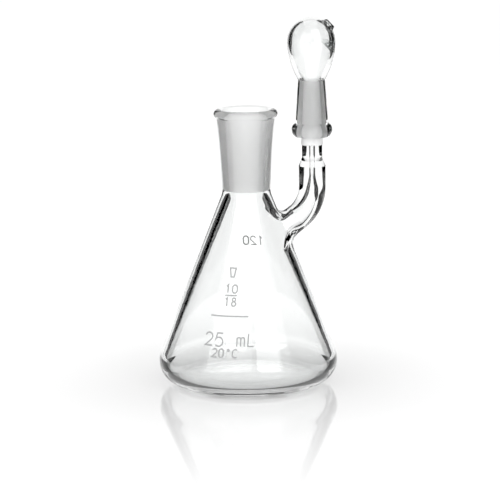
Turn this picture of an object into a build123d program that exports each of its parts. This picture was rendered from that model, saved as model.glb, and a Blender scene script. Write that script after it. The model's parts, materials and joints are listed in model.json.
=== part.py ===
"""A 25 mL specific-gravity flask: a conical body, a ground neck and a capped side arm.

Millimetres, +Z up. The origin is the centre of the base on its resting plane. The side
arm stands towards +X and the printed marks face -Y.
"""
import os
from math import asin, atan, atan2, cos, degrees, hypot, radians, sin, tan

from build123d import *

os.makedirs("parts", exist_ok=True)

# ---- Driving dimensions ------------------------------------------------------------

# Ground joints: every ground surface tapers 1:10 on its diameter
TAPER = 0.1
NECK_JOINT_DIAMETER = 10.0      # wide end of the neck's socket
NECK_JOINT_LENGTH = 18.0
CAP_JOINT_DIAMETER = 5.0        # wide end of the cap's joint
CAP_JOINT_LENGTH = 12.0
CAP_JOINT_CLEARANCE = 0.03      # on the radius, between the cone and the cap

# Conical body
BASE_DIAMETER = 42.8
HEEL_RADIUS = 5.6               # outside corner between base and cone
BODY_WALL = 1.7
KICK_DIAMETER = 23.0            # shallow dome under the base
KICK_HEIGHT = 0.5
SHOULDER_HEIGHT = 46.1          # where the cone's line meets the neck's line
SHOULDER_BLEND = 5.5

# Neck
NECK_WALL = 1.6                 # at the narrow end of the socket
NECK_JOINT_RISE = 0.4           # from the shoulder's corner to the socket's narrow end
NECK_FLARE_START = 11.0         # below the wide end, where the outside starts to flare
MOUTH_LEAD = 1.5                # rounded lead into the socket
LIP_RADIUS = 1.1                # rounded outer edge of the mouth
LIP_UNDERCUT = 65               # degrees that the edge turns in under itself
LIP_FILLET = 0.3

# Side arm
ARM_DIAMETER = 6.4
ARM_ROOT_DROP = 8.5             # from the shoulder's corner to where its axis leaves the cone
ARM_TILT = 38                   # degrees above the horizontal at the root
ARM_BOSS_LENGTH = 3.9           # from the cone to the seal, along the axis
ARM_BOSS_FILLET = 2.4
ARM_BEND_RADIUS = 9.2
ARM_TOP_LENGTH = 5.0            # straight tube above the bend
ROOT_BORE = 3.8
BEND_BORE = 1.9                 # at the top of the bend
CAPILLARY_BORE = 1.0
FUNNEL_LENGTH = 3.2             # from the bend's bore to the capillary's

# Capillary tube and its ground cone
CAPILLARY_DIAMETER = 4.85
SHOULDER_LENGTH = 1.9           # from the arm's diameter to the capillary's
SHOULDER_FILLET = 1.2
CLEAR_LENGTH = 3.2              # clear tube under the ground cone
CONE_RUNOUT = 1.8               # ground length that shows under the cap
TIP_FILLET = 0.4

# Cap
CAP_SOCKET_LENGTH = 13.65       # from the rim to the seal with the bulb
BEAD_HEIGHT = 3.4
BEAD_RISE = 0.97                # proud of the socket's outside
RIM_LAND = 1.1                  # flat ring around the cap's mouth
CAP_WALL = 1.35                 # at the seal with the bulb
BULB_DIAMETER = 11.36
BULB_RISE = 9.15                # from the seal to the widest place
BULB_WALL = 0.75
VENT_TILT = 47                  # degrees from the vertical, towards +X
VENT_BORE = 0.6
VENT_BOSS_DIAMETER = 3.0
VENT_BOSS_RISE = 0.6
VENT_FILLET = 0.45

# Printed marks: enamel on the outside of the cone
MARK_THICKNESS = 0.05
MARK_LINE = 0.32                # width of a stroke
MARKED_FOOT = 8.0               # the cone carries marks from here up
LETTER_WIDTH = 0.62             # share of the letter's height
LETTER_PITCH = 0.92
MARK_AZIMUTH = -15.5            # degrees from the front, towards -X
CAPACITY_AZIMUTH = -13.3
CAPACITY_HEIGHT = 14.0          # of the middle of the mark
CAPACITY_SIZE = 2.8             # of its letters
TEMPERATURE_AZIMUTH = -16.4
TEMPERATURE_HEIGHT = 11.0
TEMPERATURE_SIZE = 1.8
JOINT_SIZE_HEIGHT = 23.8
JOINT_NUMBER_SIZE = 1.8
JOINT_NUMBER_PITCH = 2.9        # between the middles of the two numbers
JOINT_BAR_WIDTH = 2.8
TAPER_SIGN_LEVEL = 28.9
TAPER_SIGN_WIDTH = 1.8
TAPER_SIGN_HEIGHT = 2.3
TAPER_SIGN_SLOPE = 80           # degrees
RULE_LEVEL = 19.2
RULE_WIDTH = 9.0
SET_NUMBER_AZIMUTH = 171
SET_NUMBER_LEVEL = 32.7
SET_NUMBER_SIZE = 2.2

# ---- Worked-out sizes --------------------------------------------------------------

# The neck's socket
taper_angle = degrees(atan(TAPER / 2))
joint_radius = NECK_JOINT_DIAMETER / 2
socket_foot = SHOULDER_HEIGHT + NECK_JOINT_RISE
socket_top = socket_foot + NECK_JOINT_LENGTH


def socket_radius(height):
    """Radius of the neck's ground bore at a height."""
    return joint_radius - TAPER / 2 * (socket_top - height)


# The cone touches the heel's circle and passes through the shoulder corner
heel_centre = BASE_DIAMETER / 2 - HEEL_RADIUS
shoulder_radius = socket_radius(SHOULDER_HEIGHT) + NECK_WALL
heel_run = heel_centre - shoulder_radius
heel_drop = SHOULDER_HEIGHT - HEEL_RADIUS
cone_angle = degrees(atan2(heel_run, heel_drop) + asin(HEEL_RADIUS / hypot(heel_run, heel_drop)))
cone_lean = radians(cone_angle)


def cone_radius(height):
    """Outside radius of the cone at a height."""
    return shoulder_radius + tan(cone_lean) * (SHOULDER_HEIGHT - height)


# The body is sealed to the neck where the shoulder's blend leaves the cone
blend_turn = cone_angle + taper_angle
blend_reach = SHOULDER_BLEND * tan(radians(blend_turn / 2))
seal_height = SHOULDER_HEIGHT - blend_reach * cos(cone_lean)
seal_radius = cone_radius(seal_height)
wall_across = BODY_WALL / cos(cone_lean)
seal_bore = seal_radius - wall_across
kick_radius = KICK_DIAMETER / 2
inner_heel = HEEL_RADIUS - BODY_WALL

# The side arm's axis, from the cone to the top of its bend
arm_lean = radians(ARM_TILT)
arm_root_height = SHOULDER_HEIGHT - ARM_ROOT_DROP
arm_root = Vector(cone_radius(arm_root_height), 0, arm_root_height)
arm_axis = Vector(cos(arm_lean), 0, sin(arm_lean))
arm_seal = arm_root + arm_axis * ARM_BOSS_LENGTH
arm_x = arm_seal.X + ARM_BEND_RADIUS * (1 - sin(arm_lean))
bend_top = arm_seal.Z + ARM_BEND_RADIUS * cos(arm_lean)

# Heights up the capillary and the cap
arm_top = bend_top + ARM_TOP_LENGTH
clear_foot = arm_top + SHOULDER_LENGTH
cone_foot = clear_foot + CLEAR_LENGTH
cap_rim = cone_foot + CONE_RUNOUT
cone_tip = cap_rim + CAP_JOINT_LENGTH
cap_seal = cap_rim + CAP_SOCKET_LENGTH
bulb_centre = cap_seal + BULB_RISE
bulb_radius = BULB_DIAMETER / 2

capillary_radius = CAPILLARY_BORE / 2
arm_radius = ARM_DIAMETER / 2
cap_joint_radius = CAP_JOINT_DIAMETER / 2
cap_mouth = cap_joint_radius + CAP_JOINT_CLEARANCE
cap_bore = cap_mouth - TAPER / 2 * CAP_SOCKET_LENGTH
cap_neck = cap_bore + CAP_WALL

arm_line = Axis((arm_x, 0, 0), (0, 0, 1))
arm_side = Plane((arm_x, 0, 0), x_dir=(1, 0, 0), z_dir=(0, -1, 0))
arm_seal_plane = Plane(arm_seal, x_dir=(0, 1, 0), z_dir=arm_axis)

# ---- Conical body ------------------------------------------------------------------

with BuildPart() as conical_body:
    with BuildSketch(Plane.XZ):
        with BuildLine():
            kick = TangentArc((0, KICK_HEIGHT), (kick_radius, 0), tangent=(1, 0))
            ring = Line(kick @ 1, (heel_centre, 0))
            heel = JernArc(ring @ 1, (1, 0), HEEL_RADIUS, 90 + cone_angle)
            cone = Line(heel @ 1, (seal_radius, seal_height))
            Polyline(cone @ 1, (0, seal_height), kick @ 0)
        make_face()
    revolve(axis=Axis.Z)

    # A pulled-out boss for the side arm, blended into the cone
    with BuildSketch(arm_seal_plane):
        Circle(arm_radius)
    extrude(amount=-(ARM_BOSS_LENGTH + BODY_WALL))
    boss_root = conical_body.edges(Select.NEW).filter_by(GeomType.CIRCLE, reverse=True)
    fillet(boss_root, ARM_BOSS_FILLET)

    # The inside, a wall's thickness in
    with BuildSketch(Plane.XZ):
        with BuildLine():
            floor = TangentArc((0, BODY_WALL + KICK_HEIGHT), (kick_radius, BODY_WALL), tangent=(1, 0))
            flat = Line(floor @ 1, (heel_centre, BODY_WALL))
            inside_heel = JernArc(flat @ 1, (1, 0), inner_heel, 90 + cone_angle)
            inside_cone = Line(inside_heel @ 1, (seal_bore, seal_height))
            Polyline(inside_cone @ 1, (0, seal_height), floor @ 0)
        make_face()
    revolve(axis=Axis.Z, mode=Mode.SUBTRACT)
    with BuildSketch(arm_seal_plane):
        Circle(ROOT_BORE / 2)
    extrude(amount=-(ARM_BOSS_LENGTH + 2 * BODY_WALL), mode=Mode.SUBTRACT)
conical_body.part.label = "conical_body"
export_step(conical_body.part, "parts/conical_body.step")

# ---- Neck with its ground socket -----------------------------------------------------

mouth_radius = joint_radius + MOUTH_LEAD
mouth_height = socket_top + MOUTH_LEAD
lip_centre = mouth_height - LIP_RADIUS
undercut = radians(LIP_UNDERCUT)
lip_foot = (mouth_radius + LIP_RADIUS * cos(undercut), lip_centre - LIP_RADIUS * sin(undercut))
flare_height = socket_top - NECK_FLARE_START

with BuildPart() as neck_socket:
    with BuildSketch(Plane.XZ) as neck_outline:
        with BuildLine():
            foot = Line((seal_bore, seal_height), (seal_radius, seal_height))
            blend = JernArc(foot @ 1, (-sin(cone_lean), cos(cone_lean)), SHOULDER_BLEND, -blend_turn)
            tube = Line(blend @ 1, (socket_radius(flare_height) + NECK_WALL, flare_height))
            flare = TangentArc(tube @ 1, lip_foot, tangent=tube % 1)
            lip = CenterArc((mouth_radius, lip_centre), LIP_RADIUS, -LIP_UNDERCUT, 90 + LIP_UNDERCUT)
            lead = CenterArc((mouth_radius, socket_top), MOUTH_LEAD, 90, 90)
            ground = Line(lead @ 1, (socket_radius(socket_foot), socket_foot))
            TangentArc(ground @ 1, foot @ 0, tangent=ground % 1)
        make_face()
        fillet(neck_outline.vertices().sort_by_distance(lip_foot)[0], LIP_FILLET)
    revolve(axis=Axis.Z)
neck_socket.part.label = "neck_socket"
export_step(neck_socket.part, "parts/neck_socket.step")

# ---- Side arm ------------------------------------------------------------------------

bend_top_plane = Plane.XY.offset(bend_top)

with BuildPart() as side_arm:
    with BuildLine(Plane.XZ):
        bend = JernArc((arm_seal.X, arm_seal.Z), (arm_axis.X, arm_axis.Z), ARM_BEND_RADIUS, 90 - ARM_TILT)
        rise = Line(bend @ 1, (arm_x, arm_top))
    with BuildSketch(arm_seal_plane):
        Circle(arm_radius)
    sweep()

    # The bore narrows around the bend and then runs down to the capillary
    with BuildLine(Plane.XZ):
        add(bend)
    with BuildSketch(arm_seal_plane):
        Circle(ROOT_BORE / 2)
    with BuildSketch(bend_top_plane):
        with Locations((arm_x, 0)):
            Circle(BEND_BORE / 2)
    sweep(multisection=True, mode=Mode.SUBTRACT)
    with BuildSketch(arm_side):
        funnel_top = bend_top + FUNNEL_LENGTH
        with BuildLine():
            funnel = Line((BEND_BORE / 2, bend_top), (capillary_radius, funnel_top))
            Polyline(funnel @ 1, (capillary_radius, arm_top), (0, arm_top), (0, bend_top), funnel @ 0)
        make_face()
    revolve(axis=arm_line, mode=Mode.SUBTRACT)
side_arm.part.label = "side_arm"
export_step(side_arm.part, "parts/side_arm.step")

# ---- Capillary tube and ground cone ----------------------------------------------------

cone_foot_radius = cap_joint_radius + TAPER / 2 * CONE_RUNOUT
cone_tip_radius = cap_joint_radius - TAPER / 2 * CAP_JOINT_LENGTH

with BuildPart() as capillary_cone:
    with BuildSketch(arm_side) as cone_outline:
        with BuildLine():
            Polyline(
                (capillary_radius, arm_top),
                (arm_radius, arm_top),
                (CAPILLARY_DIAMETER / 2, clear_foot),
                (CAPILLARY_DIAMETER / 2, cone_foot),
                (cone_foot_radius, cone_foot),
                (cone_tip_radius, cone_tip),
                (capillary_radius, cone_tip),
                close=True,
            )
        make_face()
        shoulder_end = (CAPILLARY_DIAMETER / 2, clear_foot)
        fillet(cone_outline.vertices().sort_by_distance(shoulder_end)[0], SHOULDER_FILLET)
        fillet(cone_outline.vertices().sort_by_distance((cone_tip_radius, cone_tip))[0], TIP_FILLET)
    revolve(axis=arm_line)
capillary_cone.part.label = "capillary_cone"
export_step(capillary_cone.part, "parts/capillary_cone.step")

# ---- Cap socket ------------------------------------------------------------------------

bead_top = cap_rim + BEAD_HEIGHT
bead_root = cap_mouth + CAP_WALL

with BuildPart() as cap_socket:
    with BuildSketch(arm_side) as socket_outline:
        with BuildLine():
            rim = Line((cap_mouth, cap_rim), (cap_mouth + RIM_LAND, cap_rim))
            bead = ThreePointArc(
                rim @ 1,
                (bead_root + BEAD_RISE, cap_rim + BEAD_HEIGHT / 2),
                (bead_root, bead_top),
            )
            wall = Line(bead @ 1, (cap_neck, cap_seal))
            Polyline(wall @ 1, (cap_bore, cap_seal), rim @ 0)
        make_face()
    revolve(axis=arm_line)
cap_socket.part.label = "cap_socket"
export_step(cap_socket.part, "parts/cap_socket.step")

# ---- Cap bulb --------------------------------------------------------------------------

vent_lean = radians(VENT_TILT)
vent_axis = Vector(sin(vent_lean), 0, cos(vent_lean))
bulb_top = Vector(arm_x, 0, bulb_centre) + vent_axis * bulb_radius
vent_plane = Plane(bulb_top, x_dir=(0, 1, 0), z_dir=vent_axis)
inner_bulb = bulb_radius - BULB_WALL

with BuildPart() as cap_bulb:
    with BuildSketch(arm_side):
        with BuildLine():
            pear = TangentArc((bulb_radius, bulb_centre), (cap_neck, cap_seal), tangent=(0, -1))
            dome = CenterArc((0, bulb_centre), bulb_radius, 0, 90)
            Polyline(dome @ 1, (0, cap_seal), pear @ 1)
        make_face()
    revolve(axis=arm_line)

    # A small raised lip around the vent
    with BuildSketch(vent_plane.offset(VENT_BOSS_RISE)):
        Circle(VENT_BOSS_DIAMETER / 2)
    extrude(amount=-(VENT_BOSS_RISE + BULB_WALL))
    vent_edges = cap_bulb.edges(Select.NEW).filter_by(GeomType.CIRCLE).sort_by(Axis(bulb_top, vent_axis))
    fillet(vent_edges, VENT_FILLET)

    with BuildSketch(arm_side):
        with BuildLine():
            hollow = TangentArc((inner_bulb, bulb_centre), (cap_bore, cap_seal), tangent=(0, -1))
            roof = CenterArc((0, bulb_centre), inner_bulb, 0, 90)
            Polyline(roof @ 1, (0, cap_seal), hollow @ 1)
        make_face()
    revolve(axis=arm_line, mode=Mode.SUBTRACT)
    with BuildSketch(vent_plane.offset(VENT_BOSS_RISE)):
        Circle(VENT_BORE / 2)
    extrude(amount=-(VENT_BOSS_RISE + 2 * BULB_WALL), mode=Mode.SUBTRACT)
cap_bulb.part.label = "cap_bulb"
export_step(cap_bulb.part, "parts/cap_bulb.step")

# ---- Printed marks ---------------------------------------------------------------------


def face_plane(azimuth, height):
    """An upright plane through the flask's axis that faces outwards at an azimuth."""
    turn = radians(azimuth)
    return Plane(
        origin=(0, 0, height),
        x_dir=(cos(turn), sin(turn), 0),
        z_dir=(sin(turn), -cos(turn), 0),
    )



mark_across = MARK_THICKNESS / cos(cone_lean)

with BuildPart() as enamel_layer:
    with BuildSketch(Plane.XZ):
        with BuildLine():
            Polyline(
                (cone_radius(MARKED_FOOT), MARKED_FOOT),
                (cone_radius(MARKED_FOOT) + mark_across, MARKED_FOOT),
                (seal_radius + mark_across, seal_height),
                (seal_radius, seal_height),
                close=True,
            )
        make_face()
    revolve(axis=Axis.Z)


# Stroke letters: each is a pen line from a left edge, for a letter height


def zero(left, height):
    """The figure 0."""
    half = height * LETTER_WIDTH / 2
    with BuildLine() as pen:
        top = CenterArc((left + half, height - half), half, 0, 180)
        foot = CenterArc((left + half, half), half, 180, 180)
        Line(top @ 1, foot @ 0)
        Line(foot @ 1, top @ 0)
    return pen.line


def one(left, height):
    """The figure 1."""
    middle = left + height * LETTER_WIDTH / 2
    with BuildLine() as pen:
        Polyline((middle - height / 5, height * 0.8), (middle, height), (middle, 0))
    return pen.line


def two(left, height):
    """The figure 2."""
    width = height * LETTER_WIDTH
    with BuildLine() as pen:
        bowl = CenterArc((left + width / 2, height - width / 2), width / 2, -30, 190)
        Polyline(bowl @ 0, (left, 0), (left + width, 0))
    return pen.line


def five(left, height):
    """The figure 5."""
    width = height * LETTER_WIDTH
    with BuildLine() as pen:
        Polyline((left + width, height), (left + width / 5, height), (left, height * 0.55))
        ThreePointArc((left, height * 0.55), (left + width, height * 0.3), (left, height * 0.07))
    return pen.line


def eight(left, height):
    """The figure 8."""
    middle = left + height * LETTER_WIDTH / 2
    with BuildLine() as pen:
        CenterArc((middle, height * 0.27), height * 0.27, 0, 360)
        CenterArc((middle, height * 0.79), height * 0.21, 0, 360)
    return pen.line


def letter_m(left, height):
    """A small m."""
    bay = height * LETTER_WIDTH / 2
    crown = height * 0.7 - bay / 2
    with BuildLine() as pen:
        Line((left, 0), (left, height * 0.7))
        for stem in (left, left + bay):
            CenterArc((stem + bay / 2, crown), bay / 2, 0, 180)
            Line((stem + bay, crown), (stem + bay, 0))
    return pen.line


def letter_l(left, height):
    """A capital L."""
    with BuildLine() as pen:
        Polyline((left, height), (left, 0), (left + height * LETTER_WIDTH * 0.8, 0))
    return pen.line


def letter_c(left, height):
    """A capital C."""
    half = height * LETTER_WIDTH / 2
    with BuildLine() as pen:
        top = CenterArc((left + half, height - half), half, 40, 140)
        foot = CenterArc((left + half, half), half, 180, 140)
        Line(top @ 1, foot @ 0)
    return pen.line


def degree_ring(left, height):
    """The ring of a degree sign."""
    ring = height * 0.13
    with BuildLine() as pen:
        CenterArc((left + height * LETTER_WIDTH / 2, height - ring), ring, 0, 360)
    return pen.line


LETTERS = {
    "0": zero, "1": one, "2": two, "5": five, "8": eight,
    "m": letter_m, "L": letter_l, "C": letter_c, "*": degree_ring,
}


def write(text, height, middle=0):
    """Trace a centred word on the current sketch, its letters standing about a height."""
    step = height * LETTER_PITCH
    left = -(len(text) * step - (LETTER_PITCH - LETTER_WIDTH) * height) / 2
    for place, letter in enumerate(text):
        if letter != " ":
            pen = LETTERS[letter](left + place * step, height)
            trace(Pos(0, middle - height / 2) * pen, MARK_LINE)


def print_mark(name, azimuth, height, draw):
    """Write one mark: a drawing, seen square on from an azimuth, in the enamel layer."""
    with BuildPart() as mark:
        with BuildSketch(face_plane(azimuth, height)):
            draw()
        extrude(amount=BASE_DIAMETER)
        add(enamel_layer.part, mode=Mode.INTERSECT)
    mark.part.label = name
    export_step(mark.part, f"parts/{name}.step")
    return mark.part


def capacity():
    """The contained volume."""
    write("25 mL", CAPACITY_SIZE)


def temperature():
    """The temperature that the volume is true at."""
    write("20*C", TEMPERATURE_SIZE)


def joint_size():
    """The socket's wide end over its length, as a fraction."""
    Rectangle(JOINT_BAR_WIDTH, MARK_LINE)
    write(f"{NECK_JOINT_DIAMETER:.0f}", JOINT_NUMBER_SIZE, JOINT_NUMBER_PITCH / 2)
    write(f"{NECK_JOINT_LENGTH:.0f}", JOINT_NUMBER_SIZE, -JOINT_NUMBER_PITCH / 2)


def taper_sign():
    """An outlined wedge: the sign of a tapered joint."""
    Trapezoid(TAPER_SIGN_WIDTH, TAPER_SIGN_HEIGHT, TAPER_SIGN_SLOPE, rotation=180)
    offset(amount=-MARK_LINE, kind=Kind.INTERSECTION, mode=Mode.SUBTRACT)


def plain_rule():
    """A plain line between the joint's size and the capacity."""
    Rectangle(RULE_WIDTH, MARK_LINE)


def set_number():
    """The number that pairs a flask with its stopper."""
    write("120", SET_NUMBER_SIZE)


print_mark("capacity_mark", CAPACITY_AZIMUTH, CAPACITY_HEIGHT, capacity)
print_mark("temperature_mark", TEMPERATURE_AZIMUTH, TEMPERATURE_HEIGHT, temperature)
print_mark("joint_size_mark", MARK_AZIMUTH, JOINT_SIZE_HEIGHT, joint_size)
print_mark("taper_mark", MARK_AZIMUTH, TAPER_SIGN_LEVEL, taper_sign)
print_mark("rule_mark", MARK_AZIMUTH, RULE_LEVEL, plain_rule)
print_mark("set_number_mark", SET_NUMBER_AZIMUTH, SET_NUMBER_LEVEL, set_number)
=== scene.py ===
"""A small specific-gravity flask in clear and ground glass, with a capped side arm.

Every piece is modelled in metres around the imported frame: +Z is up, the side arm stands
towards +X and the printed marks face -Y.
"""
import json
import logging
from dataclasses import dataclass
from enum import Enum
from math import asin, atan, atan2, cos, degrees, hypot, pi, radians, sin, sqrt, tan
from typing import Callable

import bpy
from mathutils import Matrix, Vector

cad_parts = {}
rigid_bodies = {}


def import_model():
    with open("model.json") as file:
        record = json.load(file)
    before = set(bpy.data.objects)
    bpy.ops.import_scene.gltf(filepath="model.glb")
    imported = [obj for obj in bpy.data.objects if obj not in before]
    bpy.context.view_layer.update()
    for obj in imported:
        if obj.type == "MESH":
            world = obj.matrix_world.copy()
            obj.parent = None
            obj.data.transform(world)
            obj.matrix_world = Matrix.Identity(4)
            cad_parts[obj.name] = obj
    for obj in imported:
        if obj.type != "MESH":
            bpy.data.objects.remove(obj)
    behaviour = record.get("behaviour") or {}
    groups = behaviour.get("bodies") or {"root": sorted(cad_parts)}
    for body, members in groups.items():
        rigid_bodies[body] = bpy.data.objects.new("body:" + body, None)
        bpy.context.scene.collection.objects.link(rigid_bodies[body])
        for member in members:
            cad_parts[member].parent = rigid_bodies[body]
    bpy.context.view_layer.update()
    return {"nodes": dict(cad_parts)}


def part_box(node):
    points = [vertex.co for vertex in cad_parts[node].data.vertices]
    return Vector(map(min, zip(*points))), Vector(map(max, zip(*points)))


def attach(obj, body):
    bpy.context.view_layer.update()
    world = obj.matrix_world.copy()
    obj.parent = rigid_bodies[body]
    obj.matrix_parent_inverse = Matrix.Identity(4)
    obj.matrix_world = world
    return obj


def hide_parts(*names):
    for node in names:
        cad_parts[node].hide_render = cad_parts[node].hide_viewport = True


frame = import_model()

MM = 0.001
UP = Vector((0, 0, 1))
TAPER = 0.1  # A ground joint's change of diameter over its length.
RING_STEPS = 144
SMOOTH_ANGLE = radians(32)
FLUSH = 0.01 * MM  # How far from a plane a place still counts as on it.
ROOM = 1.02  # How much wider than a ring the search for it reaches.
SQUARE = 0.9  # The least share of a normal along a direction that its face is square to.

log = logging.getLogger("flask")

Point = tuple[float, float]
FaceTest = Callable[[Vector, Vector], bool]


# ---- Working by hand ----------------------------------------------------------------


def arc(centre: Point, radius: float, start: float, end: float, steps: int) -> list[Point]:
    """Points along a circle, both ends included.

    Args:
        centre: The circle's centre, as radius and height.
        radius: The circle's radius.
        start: The first angle, in degrees from the outward direction.
        end: The last angle, in degrees.
        steps: How many steps lead from the first point to the last.

    Returns:
        The points, as radius and height.
    """
    angles = (radians(start + (end - start) * step / steps) for step in range(steps + 1))
    return [(centre[0] + radius * cos(a), centre[1] + radius * sin(a)) for a in angles]


def curve(start: Point, corner: Point, end: Point, steps: int) -> list[Point]:
    """Points along a parabola that leaves and meets two lines at their corner's slopes.

    Args:
        start: The first point.
        corner: Where the two lines meet.
        end: The last point.
        steps: How many steps lead from the first point to the last.

    Returns:
        The points, both ends included.
    """
    points = []
    for step in range(steps + 1):
        t = step / steps
        a, b, c = (1 - t) ** 2, 2 * t * (1 - t), t**2
        points.append(tuple(a * p + b * q + c * r for p, q, r in zip(start, corner, end)))
    return points


def meeting_arc(start: Point, slope: Point, end: Point, steps: int) -> list[Point]:
    """Points along the circle that leaves a point at a slope and passes through another.

    Args:
        start: The first point.
        slope: The direction in which the circle leaves it.
        end: The last point.
        steps: How many steps lead from the first point to the last.

    Returns:
        The points, both ends included.
    """
    chord = Vector((end[0] - start[0], end[1] - start[1]))
    turn = Vector(slope).normalized()
    side = Vector((-turn.y, turn.x))
    reach = chord.length_squared / (2 * chord.dot(side))
    middle = Vector(start) + side * reach
    first = atan2(start[1] - middle.y, start[0] - middle.x)
    last = atan2(end[1] - middle.y, end[0] - middle.x)
    if reach > 0 and last < first:
        last += 2 * pi
    if reach < 0 and last > first:
        last -= 2 * pi
    return arc(tuple(middle), abs(reach), degrees(first), degrees(last), steps)


def straight(start: Point, end: Point, steps: int) -> list[Point]:
    """Points along a straight line, its first left out.

    Args:
        start: The point that the line leaves.
        end: The last point.
        steps: How many steps lead to the last point.

    Returns:
        The points, as radius and height.
    """
    (x, y), run, rise = start, end[0] - start[0], end[1] - start[1]
    return [(x + run * step / steps, y + rise * step / steps) for step in range(1, steps + 1)]


def circle_through(start: Point, middle: Point, end: Point, steps: int) -> list[Point]:
    """Points along the circle through three points.

    Args:
        start: The first point.
        middle: A point on the way.
        end: The last point.
        steps: How many steps lead from the first point to the last.

    Returns:
        The points, both ends included.
    """
    (ax, ay), (bx, by), (cx, cy) = start, middle, end
    a, b, c = ax**2 + ay**2, bx**2 + by**2, cx**2 + cy**2
    twice = 2 * (ax * (by - cy) + bx * (cy - ay) + cx * (ay - by))
    x = (a * (by - cy) + b * (cy - ay) + c * (ay - by)) / twice
    y = (a * (cx - bx) + b * (ax - cx) + c * (bx - ax)) / twice
    first, last = (degrees(atan2(end_y - y, end_x - x)) for end_x, end_y in (start, end))
    return arc((x, y), hypot(ax - x, ay - y), first, last, steps)


def pick(piece: bpy.types.Object) -> None:
    """Make a piece the only selected one and the active one, from object mode.

    Args:
        piece: The mesh object.
    """
    bpy.ops.object.select_all(action="DESELECT")
    piece.select_set(True)
    bpy.context.view_layer.objects.active = piece


def edit(piece: bpy.types.Object) -> None:
    """Pick a piece and enter edit mode with nothing selected.

    Args:
        piece: The mesh object.
    """
    pick(piece)
    bpy.ops.object.mode_set(mode="EDIT")
    bpy.ops.mesh.select_all(action="DESELECT")


def select_faces(piece: bpy.types.Object, test: FaceTest) -> None:
    """Select a piece's faces by their middle and normal, from object mode.

    Args:
        piece: The mesh object.
        test: Says of a face's middle and normal whether it is wanted.
    """
    edit(piece)
    bpy.ops.mesh.select_mode(type="FACE")
    bpy.ops.object.mode_set(mode="OBJECT")
    for face in piece.data.polygons:
        face.select = test(face.center, face.normal)


def select_points(piece: bpy.types.Object, test: Callable[[Vector], bool]) -> None:
    """Select a piece's points by their place, from object mode.

    Args:
        piece: The mesh object.
        test: Says of a point's place whether it is wanted.
    """
    edit(piece)
    bpy.ops.mesh.select_mode(type="VERT")
    bpy.ops.object.mode_set(mode="OBJECT")
    for point in piece.data.vertices:
        point.select = test(point.co)


def apply_modifier(piece: bpy.types.Object, kind: str, **settings: object) -> None:
    """Add one modifier to a piece, set it and apply it.

    Args:
        piece: The mesh object.
        kind: The modifier's type.
        settings: The modifier's own settings.
    """
    pick(piece)
    modifier = piece.modifiers.new(kind.lower(), kind)
    for name, value in settings.items():
        setattr(modifier, name, value)
    bpy.ops.object.modifier_apply(modifier=modifier.name)


class RingPen:
    """Draws a round wall as a chain of rings, each pulled from the one before.

    Attributes:
        centre: The middle of the last ring.
        axis: The direction that the last ring faces.
        radius: The last ring's radius.
    """

    def __init__(
        self, centre: Vector, radius: float, axis: Vector = UP, steps: int = RING_STEPS
    ) -> None:
        """Add the first ring, to the piece being edited or as a new piece.

        Args:
            centre: The ring's middle.
            radius: The ring's radius.
            axis: The direction that the ring faces.
            steps: The ring's number of edges.
        """
        self.centre, self.axis, self.radius = Vector(centre), Vector(axis).normalized(), radius
        turn = self.axis.to_track_quat("Z", "Y").to_euler()
        new_piece = bpy.context.mode == "OBJECT"
        if new_piece:
            bpy.ops.object.select_all(action="DESELECT")
        else:
            bpy.ops.mesh.select_all(action="DESELECT")
        bpy.ops.mesh.primitive_circle_add(vertices=steps, radius=radius, location=centre, rotation=turn)
        if new_piece:
            bpy.ops.object.transform_apply(location=True, rotation=True, scale=True)
            bpy.ops.object.mode_set(mode="EDIT")
            bpy.ops.mesh.select_all(action="SELECT")
        bpy.ops.mesh.select_mode(type="EDGE")

    def pull(self, advance: float, radius: float) -> None:
        """Pull a new ring along the axis and bring it to a radius.

        Args:
            advance: How far the new ring is from the last.
            radius: The new ring's radius.
        """
        step = self.axis * advance
        bpy.ops.mesh.extrude_edges_move(TRANSFORM_OT_translate={"value": tuple(step)})
        self.centre = self.centre + step
        self.resize(radius)

    def resize(self, radius: float) -> None:
        """Bring the last ring to a radius about its own middle.

        Args:
            radius: The radius that it gets.
        """
        share = radius / self.radius
        if abs(share - 1) > 1e-9:
            bpy.ops.transform.resize(value=(share,) * 3, center_override=tuple(self.centre))
        self.radius = radius

    def follow(self, outline: list[Point]) -> None:
        """Pull a ring for each point of an outline.

        Args:
            outline: The points, as radius and distance along the axis.
        """
        for radius, along in outline:
            here = self.centre.dot(self.axis)
            self.pull(along - here, radius)

    def swing(self, pivot: Vector, turn: float, radius: float) -> None:
        """Pull a new ring round a pivot in the XZ plane, towards +Z for a positive turn.

        Args:
            pivot: The point that the ring swings about.
            turn: The angle, in radians.
            radius: The new ring's radius.
        """
        bpy.ops.mesh.extrude_edges_move(TRANSFORM_OT_translate={"value": (0, 0, 0)})
        bpy.ops.transform.rotate(value=turn, orient_axis="Y", center_override=tuple(pivot))
        swung = Matrix.Rotation(-turn, 3, "Y")
        self.centre = pivot + swung @ (self.centre - pivot)
        self.axis = swung @ self.axis
        self.resize(radius)


def finish_wall(name: str, close: bool = True) -> bpy.types.Object:
    """Close the wall being edited along its two open rings, and tidy it.

    Args:
        name: The piece's name.
        close: Whether two open rings are left to be joined.

    Returns:
        The finished piece, in object mode.
    """
    if close:
        bpy.ops.mesh.select_all(action="DESELECT")
        bpy.ops.mesh.select_non_manifold()
        bpy.ops.mesh.bridge_edge_loops()
    bpy.ops.mesh.select_all(action="SELECT")
    bpy.ops.mesh.remove_doubles(threshold=1e-7)
    bpy.ops.mesh.normals_make_consistent(inside=False)
    bpy.ops.object.mode_set(mode="OBJECT")
    piece = bpy.context.view_layer.objects.active
    piece.name = name
    piece.data.name = name
    bpy.ops.object.shade_smooth_by_angle(angle=SMOOTH_ANGLE)
    return piece


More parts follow.
